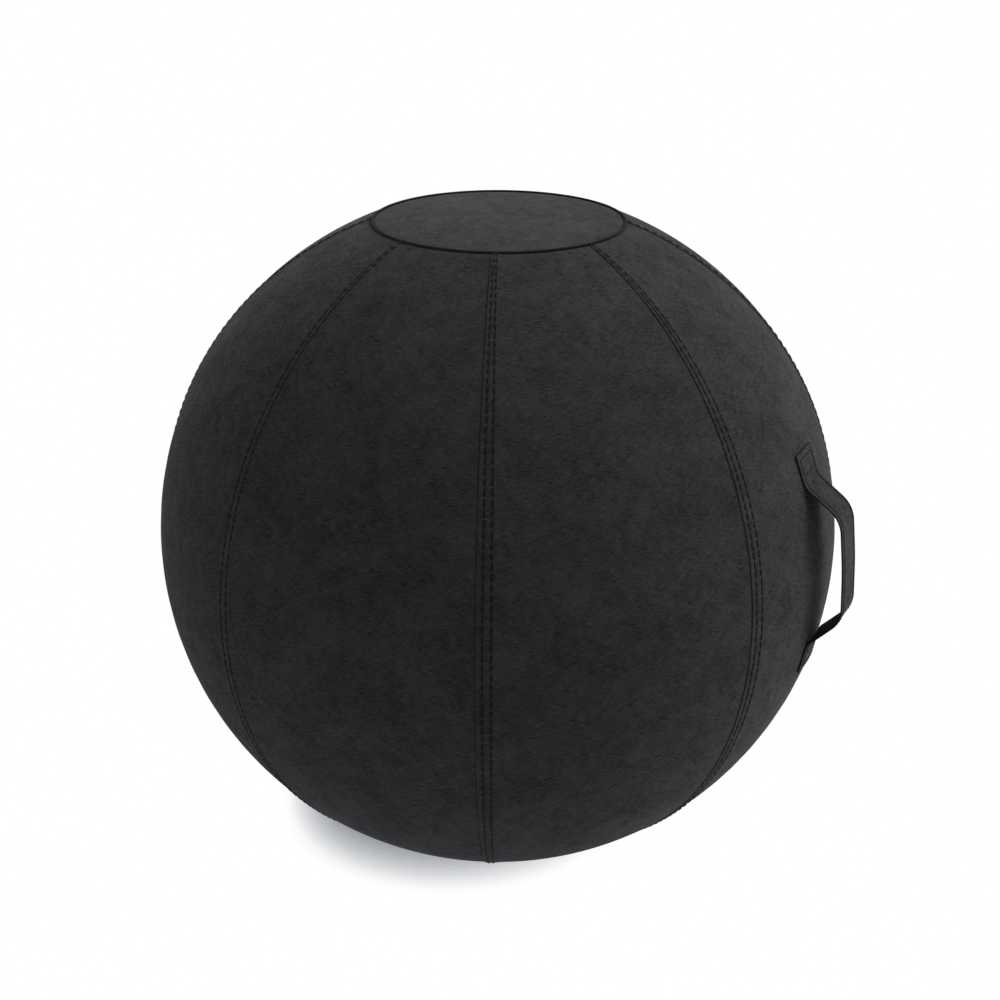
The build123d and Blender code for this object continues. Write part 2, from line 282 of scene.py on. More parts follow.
def brushed_polyester(name, dark, light):
    """Brushed woven polyester: matt, softly patchy, with crossed threads and a pale sheen."""
    material, tree = start_material(name)
    place = add_node(tree, "ShaderNodeUVMap", uv_map=cloth_uv)
    weft_run = add_node(tree, "ShaderNodeMapping", {
        "Vector": place, "Scale": (1 / weft_slub, 1 / thread_width, 1)})
    warp_run = add_node(tree, "ShaderNodeMapping", {
        "Vector": place, "Scale": (1 / thread_width, 1 / warp_slub, 1)})
    weft = add_node(tree, "ShaderNodeTexNoise", {"Vector": weft_run, "Scale": 1.0, "Detail": 2.0})
    warp = add_node(tree, "ShaderNodeTexNoise", {"Vector": warp_run, "Scale": 1.0, "Detail": 2.0})
    patches = add_node(tree, "ShaderNodeTexNoise", {
        "Vector": place, "Scale": 1 / nap_patch, "Detail": 4.0, "Roughness": 0.62, "Distortion": 0.6})
    clouds = add_node(tree, "ShaderNodeTexNoise", {"Vector": place, "Scale": 1 / nap_cloud, "Detail": 2.0})
    layers = ((weft, 1.05), (warp, 0.85), (patches, 0.5), (clouds, 0.3))
    tone = tone_level - sum(share for _, share in layers) / 2
    for layer, share in layers:
        tone = add_node(tree, "ShaderNodeMath", {0: layer, 1: share, 2: tone}, operation="MULTIPLY_ADD")
    rough = add_node(tree, "ShaderNodeMapRange", {"Value": tone, "To Min": 0.98, "To Max": 0.85})
    glow = add_node(tree, "ShaderNodeMapRange", {"Value": tone, "To Min": 0.0, "To Max": 0.26})
    end_material(tree, tone, dark, light, height=tone, strength=0.35, depth=0.5 * mm, skin={
        "Roughness": rough, "Specular IOR Level": 0.08, "Sheen Weight": glow, "Sheen Roughness": 0.55,
        "Sheen Tint": linear("#e8e8f0")})
    return material


cover_cloth = brushed_polyester("brushed_woven_polyester", "#131315", "#47474a")
print("made", cover_cloth.name)

# %% [markdown]
# ## A tree for what follows a rule
#
# Three short helpers start a Geometry Nodes tree with named inputs, end it as the export needs it, and
# run it. Running fills the inputs by their identifiers before the first evaluation, copies the result
# into a plain mesh and takes the modifier away, so nothing live is left on the piece.

# %% Start, end and run a Geometry Nodes tree
def start_tree(name, **kinds):
    """Start a tree with one named input for each keyword; return the tree and its input sockets."""
    tree = bpy.data.node_groups.new(name, "GeometryNodeTree")
    for label, kind in kinds.items():
        tree.interface.new_socket(label, in_out="INPUT", socket_type="NodeSocket" + kind)
    tree.interface.new_socket("mesh", in_out="OUTPUT", socket_type="NodeSocketGeometry")
    return tree, add_node(tree, "NodeGroupInput").outputs


def end_tree(tree, geometry, material):
    """End a tree with real faces and their material."""
    real = add_node(tree, "GeometryNodeRealizeInstances", {"Geometry": geometry})
    dressed = add_node(tree, "GeometryNodeSetMaterial", {"Geometry": real, "Material": material})
    add_node(tree, "NodeGroupOutput", {0: dressed})


def plain_mesh(piece, sharp_degrees=40):
    """Replace a piece's mesh with its modified result, without modifiers, smooth up to a sharp edge."""
    depsgraph = bpy.context.evaluated_depsgraph_get()
    shown = piece.evaluated_get(depsgraph)
    mesh = bpy.data.meshes.new_from_object(shown, preserve_all_data_layers=True, depsgraph=depsgraph)
    piece.modifiers.clear()
    piece.data = mesh
    mesh.name = piece.name
    mesh.shade_smooth()
    mesh.set_sharp_from_angle(angle=radians(sharp_degrees))
    return piece


def new_piece(name, mesh):
    """Put a mesh into the scene under a piece's name."""
    piece = bpy.data.objects.new(name, mesh)
    scene.collection.objects.link(piece)
    return piece


def run_tree(tree, name, start=None, **values):
    """Run a tree with these inputs, on a starting mesh if it needs one, and return the finished piece."""
    piece = new_piece(name, start or bpy.data.meshes.new(name))
    modifier = piece.modifiers.new(tree.name, "NODES")
    modifier.node_group = tree
    for item in tree.interface.items_tree:
        if item.in_out == "INPUT" and item.name in values:
            modifier[item.identifier] = values[item.name]
    return plain_mesh(piece)


def give_wall(piece, thickness):
    """Thicken an open sheet inwards into a closed wall."""
    wall = piece.modifiers.new("wall", "SOLIDIFY")
    wall.thickness = thickness
    wall.offset = -1.0
    return plain_mesh(piece)


print("helpers ready")

# %% [markdown]
# ## The eight gores
#
# A gore is a long leaf of cloth. Its low-azimuth edge is folded under and sewn down on its neighbour
# with two rows of thread, a flat-felled seam, so there the cloth lies double and a little proud, sinks
# under each row and puckers between the stitches. Its far edge dives under the next gore's fold, and its
# two ends dive under the piping. Sculpting eight leaves would never give eight equal ones, so one tree
# bends a flat grid into a gore by rule, and runs eight times. Columns crowd together at the two edges,
# where the relief is.

# %% Name the sizes of a gore
piping_low, piping_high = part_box("top_piping")
piping_radius = (piping_high.z - piping_low.z) / 2
piping_ring_radius = piping_high.x - piping_radius
top_piping_height = (piping_low.z + piping_high.z) / 2
base_low, base_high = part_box("base_piping")
base_piping_height = (base_low.z + base_high.z) / 2
top_seam_latitude = atan2(top_piping_height - ball_centre.z, piping_ring_radius)
base_seam_latitude = atan2(base_piping_height - ball_centre.z, piping_ring_radius)
edge_under_piping = 0.6 * mm
tuck_length = 2.5 * mm
tuck_depth = 1.4 * mm
stitches_per_seam = 92
rows_per_stitch = 3
gore_rows = stitches_per_seam * rows_per_stitch + 1
column_unit = 0.157 * mm
column_growth = 1.5
lap_columns = 30
middle_columns = 12
hem_columns = 13
gore_columns = lap_columns + middle_columns + hem_columns + 1
lap_zone = column_unit * lap_columns**column_growth
hem_zone = column_unit * hem_columns**column_growth
stitch_columns = (11, 19)
zip_seam_number = 3
zip_low_latitude = radians(-54)
zip_high_latitude = radians(15)
zip_half_opening = 6.5 * mm
slot_corner = radians(0.5)
print("gore grid", gore_columns, "x", gore_rows, "lap zone", round(lap_zone / mm, 1), "mm")

# %% Draw the relief across a felled seam
fold_rise = 0.85 * mm
fold_depth = 1.1 * mm
fold_reach = 0.45 * mm
lap_rise = 0.65 * mm
row_sink = 0.5 * mm
row_reach = 0.8 * mm
pucker_depth = 0.15 * mm
relief_range = 1.2 * mm
first_row, second_row = (column_unit * column**column_growth for column in stitch_columns)
fold_steps = ((1 / 3, 0.2), (1, 0.85), (2, 1))
lap_end = 15.5 * mm
lap_end_share = 0.8
pull_between_rows = 0.1
lap_relief = [(0, -fold_depth)]
lap_relief += [(fold_reach * out, fold_rise * up) for out, up in fold_steps]
for row in (first_row, second_row):
    lap_relief += [(row - row_reach, lap_rise), (row, lap_rise - row_sink), (row + row_reach, lap_rise)]
lap_relief += [(lap_end + row_reach, lap_rise * lap_end_share), (lap_zone, 0)]
row_pull = [
    (0, 0), (first_row - 2 * row_reach, 0), (first_row, 1),
    (first_row + 2 * row_reach, pull_between_rows), (second_row - 2 * row_reach, pull_between_rows),
    (second_row, 1), (second_row + 2 * row_reach, 0), (lap_zone, 0),
]


def draw_profile(node, points, low, high):
    """Shape a Float Curve node through points, with lengths as shares of the lap zone and of a range."""
    curve = node.mapping.curves[0]
    shares = [(x / lap_zone, (y - low) / (high - low)) for x, y in points]
    curve.points[0].location = shares[0]
    curve.points[-1].location = shares[-1]
    for share in shares[1:-1]:
        curve.points.new(*share)
    node.mapping.update()


print("relief points", len(lap_relief))

# %% Build the gore tree: where a grid point lies
gore_tree, size = start_tree(
    "spherical_gore", ball_radius="Float", ball_centre="Vector", fold_azimuth="Float", gore_angle="Float",
    low_latitude="Float", high_latitude="Float", slot_at_fold="Float", slot_at_far_edge="Float",
    slot_low="Float", slot_high="Float", cloth_start="Float", cloth="Material")
tree = gore_tree
grid = add_node(tree, "GeometryNodeMeshGrid", {
    "Size X": 1.0, "Size Y": 1.0, "Vertices X": gore_columns, "Vertices Y": gore_rows})
flat = add_node(tree, "ShaderNodeSeparateXYZ", {0: add_node(tree, "GeometryNodeInputPosition")})
latitude = add_node(tree, "ShaderNodeMapRange", {
    "Value": flat.outputs["Y"], "From Min": -0.5, "From Max": 0.5,
    "To Min": size["low_latitude"], "To Max": size["high_latitude"]})
slimness = add_node(tree, "ShaderNodeMath", {0: latitude}, operation="COSINE")
ring_radius = add_node(tree, "ShaderNodeMath", {0: slimness, 1: size["ball_radius"]}, operation="MULTIPLY")

ends = []
for limit, first, last in (("slot_low", 0.0, 1.0), ("slot_high", 1.0, 0.0)):
    before = add_node(tree, "ShaderNodeMath", {0: size[limit], 1: slot_corner}, operation="SUBTRACT")
    after = add_node(tree, "ShaderNodeMath", {0: size[limit], 1: slot_corner}, operation="ADD")
    ends.append(add_node(tree, "ShaderNodeMapRange", {
        "Value": latitude, "From Min": before, "From Max": after, "To Min": first, "To Max": last},
        interpolation_type="SMOOTHSTEP"))
in_slot = add_node(tree, "ShaderNodeMath", {0: ends[0], 1: ends[1]}, operation="MULTIPLY")
opening = add_node(tree, "ShaderNodeMath", {0: in_slot, 1: ring_radius}, operation="DIVIDE")
fold_shift = add_node(tree, "ShaderNodeMath", {0: opening, 1: size["slot_at_fold"]}, operation="MULTIPLY")
far_shift = add_node(tree, "ShaderNodeMath", {
    0: opening, 1: size["slot_at_far_edge"]}, operation="MULTIPLY")

cell = 1 / (gore_columns - 1)
lap_stop = lap_columns * cell - 0.5
hem_start = 0.5 - hem_columns * cell
lap_share = add_node(tree, "ShaderNodeMapRange", {
    "Value": flat.outputs["X"], "From Min": -0.5, "From Max": lap_stop})
middle_share = add_node(tree, "ShaderNodeMapRange", {
    "Value": flat.outputs["X"], "From Min": lap_stop, "From Max": hem_start})
hem_share = add_node(tree, "ShaderNodeMapRange", {
    "Value": flat.outputs["X"], "From Min": hem_start, "From Max": 0.5, "To Min": 1.0, "To Max": 0.0})
lap_growth = add_node(tree, "ShaderNodeMath", {0: lap_share, 1: column_growth}, operation="POWER")
hem_growth = add_node(tree, "ShaderNodeMath", {0: hem_share, 1: column_growth}, operation="POWER")
lap_run = add_node(tree, "ShaderNodeMath", {0: lap_growth, 1: lap_zone / ball_radius}, operation="MULTIPLY")
hem_run = add_node(tree, "ShaderNodeMath", {
    0: hem_growth, 1: -hem_zone / ball_radius, 2: hem_zone / ball_radius}, operation="MULTIPLY_ADD")
edges = add_node(tree, "ShaderNodeMath", {0: fold_shift, 1: far_shift}, operation="ADD")
leaf = add_node(tree, "ShaderNodeMath", {0: size["gore_angle"], 1: edges}, operation="SUBTRACT")
middle_width = add_node(tree, "ShaderNodeMath", {
    0: leaf, 1: (lap_zone + hem_zone) / ball_radius}, operation="SUBTRACT")
lap_and_hem = add_node(tree, "ShaderNodeMath", {0: lap_run, 1: hem_run}, operation="ADD")
from_fold = add_node(tree, "ShaderNodeMath", {
    0: middle_share, 1: middle_width, 2: lap_and_hem}, operation="MULTIPLY_ADD")
to_far_edge = add_node(tree, "ShaderNodeMath", {0: leaf, 1: from_fold}, operation="SUBTRACT")
turn = add_node(tree, "ShaderNodeMath", {0: from_fold, 1: fold_shift}, operation="ADD")
azimuth = add_node(tree, "ShaderNodeMath", {0: turn, 1: size["fold_azimuth"]}, operation="ADD")
print("gore tree has", len(tree.nodes), "nodes so far")

# %% Build the gore tree: how far out a point lies
relief = add_node(tree, "ShaderNodeFloatCurve", {"Value": lap_growth})
draw_profile(relief, lap_relief, -relief_range, relief_range)
relief_height = add_node(tree, "ShaderNodeMapRange", {
    "Value": relief, "To Min": -relief_range, "To Max": relief_range})
pull = add_node(tree, "ShaderNodeFloatCurve", {"Value": lap_growth})
draw_profile(pull, row_pull, 0, 1)
beat = add_node(tree, "ShaderNodeMath", {
    0: flat.outputs["Y"], 1: 2 * pi * stitches_per_seam, 2: pi * stitches_per_seam},
    operation="MULTIPLY_ADD")
wave = add_node(tree, "ShaderNodeMath", {0: beat}, operation="COSINE")
dimple = add_node(tree, "ShaderNodeMapRange", {"Value": wave, "From Min": -1.0, "To Max": -pucker_depth})
pucker = add_node(tree, "ShaderNodeMath", {0: dimple, 1: pull}, operation="MULTIPLY")
hem_dive = add_node(tree, "ShaderNodeMapRange", {
    "Value": to_far_edge, "From Max": fold_reach / ball_radius, "To Min": -fold_depth, "To Max": 0.0},
    interpolation_type="SMOOTHSTEP")
above_low = add_node(tree, "ShaderNodeMath", {0: latitude, 1: size["low_latitude"]}, operation="SUBTRACT")
below_high = add_node(tree, "ShaderNodeMath", {0: size["high_latitude"], 1: latitude}, operation="SUBTRACT")
near_end = add_node(tree, "ShaderNodeMath", {0: above_low, 1: below_high}, operation="MINIMUM")
end_dive = add_node(tree, "ShaderNodeMapRange", {
    "Value": near_end, "From Max": tuck_length / ball_radius, "To Min": -tuck_depth, "To Max": 0.0},
    interpolation_type="SMOOTHSTEP")
reach = size["ball_radius"]
for part in (relief_height, pucker, hem_dive, end_dive):
    reach = add_node(tree, "ShaderNodeMath", {0: reach, 1: part}, operation="ADD")
print("gore tree has", len(tree.nodes), "nodes so far")

# %% Build the gore tree: bend the grid and lay its threads
from_middle = add_node(tree, "ShaderNodeMath", {
    0: turn, 1: add_node(tree, "ShaderNodeMath", {0: size["gore_angle"], 1: 0.5}, operation="MULTIPLY")},
    operation="SUBTRACT")
cloth_across = add_node(tree, "ShaderNodeMath", {
    0: from_middle, 1: ring_radius, 2: size["cloth_start"]}, operation="MULTIPLY_ADD")
cloth_along = add_node(tree, "ShaderNodeMath", {0: latitude, 1: size["ball_radius"]}, operation="MULTIPLY")
thread_place = add_node(tree, "ShaderNodeCombineXYZ", {"X": cloth_across, "Y": cloth_along})
marked = add_node(tree, "GeometryNodeStoreNamedAttribute", {
    "Geometry": grid, "Name": cloth_uv, "Value": thread_place}, data_type="FLOAT2", domain="CORNER")
spoke = add_node(tree, "ShaderNodeCombineXYZ", {"X": reach})
rise = add_node(tree, "ShaderNodeMath", {0: latitude, 1: -1.0}, operation="MULTIPLY")
raised = add_node(tree, "ShaderNodeVectorRotate", {"Vector": spoke, "Angle": rise}, rotation_type="Y_AXIS")
turned = add_node(tree, "ShaderNodeVectorRotate", {
    "Vector": raised, "Angle": azimuth}, rotation_type="Z_AXIS")
placed = add_node(tree, "ShaderNodeVectorMath", {0: turned, 1: size["ball_centre"]}, operation="ADD")
bent = add_node(tree, "GeometryNodeSetPosition", {"Geometry": marked, "Position": placed})
end_tree(tree, bent, size["cloth"])
print("gore tree has", len(tree.nodes), "nodes")

# %% Cut and bend the eight gores
seam_margin = edge_under_piping / ball_radius
cloth_bolt_step = 0.4
gores = []
for number in range(1, gore_count + 1):
    gore = run_tree(
        gore_tree, f"cover_gore_{number}",
        ball_radius=ball_radius, ball_centre=ball_centre, gore_angle=gore_angle,
        fold_azimuth=(number - 1.5) * gore_angle,
        low_latitude=base_seam_latitude + seam_margin, high_latitude=top_seam_latitude - seam_margin,
        slot_at_fold=zip_half_opening if number == zip_seam_number + 1 else 0.0,
        slot_at_far_edge=zip_half_opening if number == zip_seam_number else 0.0,
        slot_low=zip_low_latitude, slot_high=zip_high_latitude,
        cloth_start=number * cloth_bolt_step, cloth=cover_cloth)
    gores.append(gore)
print("gores", len(gores), "with", len(gores[0].data.polygons), "faces each, before their walls")

# %% [markdown]
# ## Stitches
#
# The seams are sewn with thick black thread, 92 stitches to a row. A stitch is a short bar of thread
# whose ends dive into the cloth. Modelling each by hand is hopeless, and a painted dashed line has no
# depth. So one tree walks along a path, drops a stitch at every second half-pitch, turns it along the
# path with its back to the cloth, and varies it a little from a fixed seed. The paths are columns of the
# gores' own grids, so the rows follow the cloth wherever it goes.

# %% Bonded polyester thread
filament_twist = 0.8 * mm


def bonded_thread(name, dark, light):
    """Bonded polyester thread: twisted black filament, nearly matt, with its twist as fine bumps."""
    material, tree = start_material(name)
    place = add_node(tree, "ShaderNodeTexCoord")
    twist = add_node(tree, "ShaderNodeTexNoise", {
        "Vector": place.outputs["Object"], "Scale": 1 / filament_twist, "Detail": 1.0})
    end_material(tree, twist, dark, light, height=twist, strength=0.3, depth=0.15 * mm, skin={
        "Roughness": 0.7, "Specular IOR Level": 0.1})
    return material


sewing_thread = bonded_thread("bonded_polyester_thread", "#050504", "#0e0e0b")
print("made", sewing_thread.name)

# %% Build the stitch tree
thread_diameter = 1.75 * mm
stitch_share = 0.79
stitch_lift = 0.38
just_under_half = 0.4999
bar_points = 6
thread_sides = 6
dive_power = 4.0
dive_depth = 0.9
smallest_stitch = (0.94, 0.94, 0.75)
largest_stitch = (1.06, 1.08, 0.88)
most_lean = 0.05
stitch_tree, size = start_tree(
    "stitches", paths="Geometry", pitch="Float", stitch_length="Float", thread_diameter="Float",
    seed="Int", thread="Material")
tree = stitch_tree
half_pitch = add_node(tree, "ShaderNodeMath", {0: size["pitch"], 1: just_under_half}, operation="MULTIPLY")
path = add_node(tree, "GeometryNodeResampleCurve", {
    "Curve": add_node(tree, "GeometryNodeMeshToCurve", {"Mesh": size["paths"]}), "Length": half_pitch},
    mode="LENGTH")
in_row = add_node(tree, "GeometryNodeSplineParameter")
sewn = add_node(tree, "ShaderNodeMath", {0: in_row.outputs["Index"], 1: 2.0}, operation="MODULO")
outward = add_node(tree, "GeometryNodeInputNamedAttribute", {"Name": "outward"}, data_type="FLOAT_VECTOR")
facing = add_node(tree, "FunctionNodeAxesToRotation", {
    0: add_node(tree, "GeometryNodeInputTangent"), 1: outward}, primary_axis="X", secondary_axis="Z")

half_stitch = add_node(tree, "ShaderNodeMath", {0: size["stitch_length"], 1: 0.5}, operation="MULTIPLY")
back_end = add_node(tree, "ShaderNodeMath", {0: half_stitch, 1: -1.0}, operation="MULTIPLY")
bar = add_node(tree, "GeometryNodeCurvePrimitiveLine", {
    "Start": add_node(tree, "ShaderNodeCombineXYZ", {"X": back_end}),
    "End": add_node(tree, "ShaderNodeCombineXYZ", {"X": half_stitch})})
bar = add_node(tree, "GeometryNodeResampleCurve", {"Curve": bar, "Count": bar_points}, mode="COUNT")
along_bar = add_node(tree, "ShaderNodeSeparateXYZ", {0: add_node(tree, "GeometryNodeInputPosition")})
end_share = add_node(tree, "ShaderNodeMath", {
    0: along_bar.outputs["X"], 1: half_stitch}, operation="DIVIDE")
dive_share = add_node(tree, "ShaderNodeMath", {0: end_share, 1: dive_power}, operation="POWER")
dive = add_node(tree, "ShaderNodeMath", {0: dive_share, 1: size["thread_diameter"]}, operation="MULTIPLY")
dive = add_node(tree, "ShaderNodeMath", {0: dive, 1: -dive_depth}, operation="MULTIPLY")
bar = add_node(tree, "GeometryNodeSetPosition", {
    "Geometry": bar, "Offset": add_node(tree, "ShaderNodeCombineXYZ", {"Z": dive})})
thread_radius = add_node(tree, "ShaderNodeMath", {0: size["thread_diameter"], 1: 0.5}, operation="MULTIPLY")
round_thread = add_node(tree, "GeometryNodeCurvePrimitiveCircle", {
    "Resolution": thread_sides, "Radius": thread_radius})
stitch = add_node(tree, "GeometryNodeCurveToMesh", {
    "Curve": bar, "Profile Curve": round_thread, "Fill Caps": True})

sizes_vary = add_node(tree, "FunctionNodeRandomValue", {
    0: smallest_stitch, 1: largest_stitch, "Seed": size["seed"]}, data_type="FLOAT_VECTOR")
row_of_stitches = add_node(tree, "GeometryNodeInstanceOnPoints", {
    "Points": path, "Selection": sewn, "Instance": stitch, "Rotation": facing, "Scale": sizes_vary})
lean = add_node(tree, "FunctionNodeRandomValue", {
    0: (0.0, 0.0, -most_lean), 1: (0.0, 0.0, most_lean), "Seed": size["seed"]}, data_type="FLOAT_VECTOR")
leaning = add_node(tree, "GeometryNodeRotateInstances", {"Instances": row_of_stitches, "Rotation": lean})
end_tree(tree, leaning, size["thread"])
print("stitch tree has", len(tree.nodes), "nodes")

# %% Sew along paths
def sew(name, paths, pitch, seed, diameter=thread_diameter):
    """Make one piece of stitches along paths, each a list of (point, outward direction) on the cloth."""
    points, directions, links = [], [], []
    for path in paths:
        first = len(points)
        links += [(first + i, first + i + 1) for i in range(len(path) - 1)]
        points += [point + outward * diameter * stitch_lift for point, outward in path]
        directions += [outward for _, outward in path]
    mesh = bpy.data.meshes.new(name + "_paths")
    mesh.from_pydata(points, links, [])
    attribute = mesh.attributes.new("outward", "FLOAT_VECTOR", "POINT")
    attribute.data.foreach_set("vector", [x for direction in directions for x in direction])
    return run_tree(
        stitch_tree, name, start=mesh, pitch=pitch, stitch_length=pitch * stitch_share,
        thread_diameter=diameter, seed=seed, thread=sewing_thread)


def gore_column(gore, column, low=-pi, high=pi):
    """Return a column of a gore's grid as a path, between two latitudes."""
    path = []
    for vertex in gore.data.vertices[column * gore_rows:(column + 1) * gore_rows]:
        if low <= asin((vertex.co.z - ball_centre.z) / (vertex.co - ball_centre).length) <= high:
            path.append((vertex.co.copy(), vertex.normal.copy()))
    return path


row_margin = radians(0.6)
seam_pitch = ball_radius * (top_seam_latitude - base_seam_latitude) / stitches_per_seam
seam_rows = [
    gore_column(gore, column, base_seam_latitude + row_margin, top_seam_latitude - row_margin)
    for gore in gores for column in stitch_columns
]
seam_stitches = sew("seam_stitches", seam_rows, seam_pitch, seed=11)
hem_column = gore_columns - 1 - stitch_columns[0]
zip_hem_row = gore_column(gores[zip_seam_number - 1], hem_column, zip_low_latitude, zip_high_latitude)
zip_stitches = sew("zip_hem_stitches", [zip_hem_row], seam_pitch, seed=12)
for gore in gores:
    give_wall(gore, cloth_thickness)
print("stitch faces", len(seam_stitches.data.polygons), "pitch", round(seam_pitch / mm, 2), "mm")

# %% [markdown]
# ## Round panels and piping
#
# The flat top panel and the base panel are round pieces sewn to the gores with piping between: a cord in
# a folded strip of thin black cloth. Both panels are turned shapes, so a profile spun round the axis makes
# them. The piping is a cord swept round a ring by a curve tree, and pressed a little flat, because the
# seam pulls it down into the cloth.

# %% Spin a profile round the ball's axis
def lathe(name, profile, segments, material):
    """Spin (radius, height) points, from pole to pole, round the axis, with a flat UV map in metres."""
    points, faces = [], []
    rings = profile[1:-1]
    points.append((0, 0, profile[0][1]))
    for radius, height in rings:
        for step in range(segments):
            angle = 2 * pi * step / segments
            points.append((radius * cos(angle), radius * sin(angle), height))
    points.append((0, 0, profile[-1][1]))
    last = len(points) - 1
    for step in range(segments):
        after = (step + 1) % segments
        faces.append((0, 1 + step, 1 + after))
        for ring in range(len(rings) - 1):
            here, there = 1 + ring * segments, 1 + (ring + 1) * segments
            faces.append((here + step, there + step, there + after, here + after))
        edge = 1 + (len(rings) - 1) * segments
        faces.append((edge + step, last, edge + after))
    mesh = bpy.data.meshes.new(name)
    mesh.from_pydata(points, [], faces)
    layer = mesh.uv_layers.new(name=cloth_uv)
    for loop in mesh.loops:
        layer.data[loop.index].uv = mesh.vertices[loop.vertex_index].co.xy
    mesh.materials.append(material)
    return plain_mesh(new_piece(name, mesh))


print("lathe ready")


# %% Spin the top panel
def ease(share):
    """Return a share from 0 to 1, slowed at both ends."""
    return share * share * (3 - 2 * share)


panel_radius = piping_ring_radius - edge_under_piping
top_panel_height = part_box("top_panel")[1].z
panel_rings = 14
tuck_rings = 5
panel_segments = 120
panel_crown = 6 * mm
top_profile = [(0, top_panel_height + panel_crown)]
for step in range(1, panel_rings + 1):
    radius = (panel_radius - tuck_length) * step / panel_rings
    top_profile.append((radius, top_panel_height + panel_crown * (1 - (step / panel_rings) ** 2)))
for step in range(1, tuck_rings + 1):
    share = step / tuck_rings
    top_profile.append((
        panel_radius - tuck_length * (1 - share), top_panel_height - tuck_depth * ease(share)))
under = [(radius, height - cloth_thickness) for radius, height in reversed(top_profile)]
top_round = lathe("cover_top_panel", top_profile + under, panel_segments, cover_cloth)
print("top panel", round(2 * panel_radius / mm), "mm across, height", round(top_panel_height / mm, 1), "mm")

# %% Rubber-coated canvas and the base panel
pebble = 2.2 * mm
scuff = 30 * mm


def coated_canvas(name, dark, light):
    """Rubber-coated canvas: a black non-slip skin with a fine pebbled grain over a coarse weave."""
    material, tree = start_material(name)
    place = add_node(tree, "ShaderNodeUVMap", uv_map=cloth_uv)
    pebbles = add_node(tree, "ShaderNodeTexVoronoi", {"Vector": place, "Scale": 1 / pebble})
    scuffs = add_node(tree, "ShaderNodeTexNoise", {"Vector": place, "Scale": 1 / scuff, "Detail": 4.0})
    rough = add_node(tree, "ShaderNodeMapRange", {"Value": scuffs, "To Min": 0.55, "To Max": 0.85})
    end_material(tree, scuffs, dark, light, height=pebbles, strength=0.5, depth=0.4 * mm, skin={
        "Roughness": rough, "Specular IOR Level": 0.35})
    return material


base_canvas = coated_canvas("rubber_coated_canvas", "#141415", "#232325")
base_panel_low, base_panel_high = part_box("base_panel")
base_radius = base_panel_high.x
base_thickness = base_panel_high.z - base_panel_low.z
base_edge = 1.2 * mm
base_stops = (0, base_radius / 2, base_radius - base_edge)
base_top = [(radius, base_thickness) for radius in base_stops]
base_side = [(base_radius, base_thickness - base_edge), (base_radius, base_edge)]
base_under = [(radius, 0) for radius in reversed(base_stops)]
base_round = lathe("cover_base_panel", base_top + base_side + base_under, panel_segments, base_canvas)
print("base panel", round(2 * base_radius / mm, 1), "mm across")

# %% Bias-cut piping
tape_weave = 1.2 * mm


def bias_tape(name, dark, light):
    """Bias tape on piping cord: thin woven cotton, matt and near black, with a trace of olive."""
    material, tree = start_material(name)
    place = add_node(tree, "ShaderNodeTexCoord")
    weave = add_node(tree, "ShaderNodeTexNoise", {
        "Vector": place.outputs["Object"], "Scale": 1 / tape_weave, "Detail": 2.0})
    end_material(tree, weave, dark, light, height=weave, strength=0.3, depth=0.2 * mm, skin={
        "Roughness": 0.85, "Specular IOR Level": 0.08})
    return material


piping_cloth = bias_tape("bias_cut_cotton_tape", "#12120e", "#22221a")
print("made", piping_cloth.name)

# %% Sweep the two rings of piping
ring_points = 180
cord_points = 12
piping_tree, size = start_tree(
    "piping_ring", ring_radius="Float", cord_radius="Float", squash="Vector", place="Vector",
    cloth="Material")
ring = add_node(piping_tree, "GeometryNodeCurvePrimitiveCircle", {
    "Resolution": ring_points, "Radius": size["ring_radius"]})
cord = add_node(piping_tree, "GeometryNodeCurvePrimitiveCircle", {
    "Resolution": cord_points, "Radius": size["cord_radius"]})
swept = add_node(piping_tree, "GeometryNodeCurveToMesh", {"Curve": ring, "Profile Curve": cord})
seated = add_node(piping_tree, "GeometryNodeTransform", {
    "Geometry": swept, "Translation": size["place"], "Scale": size["squash"]})
end_tree(piping_tree, seated, size["cloth"])
piping_slimness = 0.75
piping_flatness = 0.65
piping_sink = 0.5 * mm
pipings = {}
for name, height in (("top", top_piping_height - piping_sink), ("base", base_piping_height + piping_sink)):
    pipings[name] = run_tree(
        piping_tree, f"cover_{name}_piping", ring_radius=piping_ring_radius,
        cord_radius=piping_radius * piping_slimness, squash=(1, 1, piping_flatness), place=(0, 0, height),
        cloth=piping_cloth)
print("piping rings", [piping.name for piping in pipings.values()])

# %% [markdown]
# ## The strap handle
#
# The handle is one strap: cover cloth folded over a black webbing backing, edge-stitched, sewn down at both
# ends with a box of stitches, and creased so that a hand fits behind it. The backing's black paints the
# shade on the strap's inner face. Each half of the strap is swept along its path, and the two halves meet
# in the middle of the grip.

# %% Round the corners of a path
def rounded_path(points, radii, step):
    """Return points along a flat polyline with rounded inner corners, no further apart than a step."""
    points = [Vector(point) for point in points]
    stops = [points[0]]
    for before, corner, after, radius in zip(points, points[1:], points[2:], radii):
        back, ahead = (before - corner).normalized(), (after - corner).normalized()
        half = back.angle(ahead) / 2
        middle = corner + (back + ahead).normalized() * radius / sin(half)
        start, end = corner + back * radius / tan(half), corner + ahead * radius / tan(half)
        sweep_angle = (start - middle).angle_signed(end - middle)
        count = max(4, ceil(abs(sweep_angle) * radius / step))
        for i in range(count + 1):
            angle = sweep_angle * i / count
            spoke = start - middle
            stops.append(middle + Vector((
                spoke.x * cos(angle) + spoke.y * sin(angle), spoke.y * cos(angle) - spoke.x * sin(angle))))
    stops.append(points[-1])
    path = [stops[0]]
    for stop in stops[1:]:
        count = max(1, ceil((stop - path[-1]).length / step))
        start = path[-1]
        path += [start.lerp(stop, (i + 1) / count) for i in range(count)]
    return path


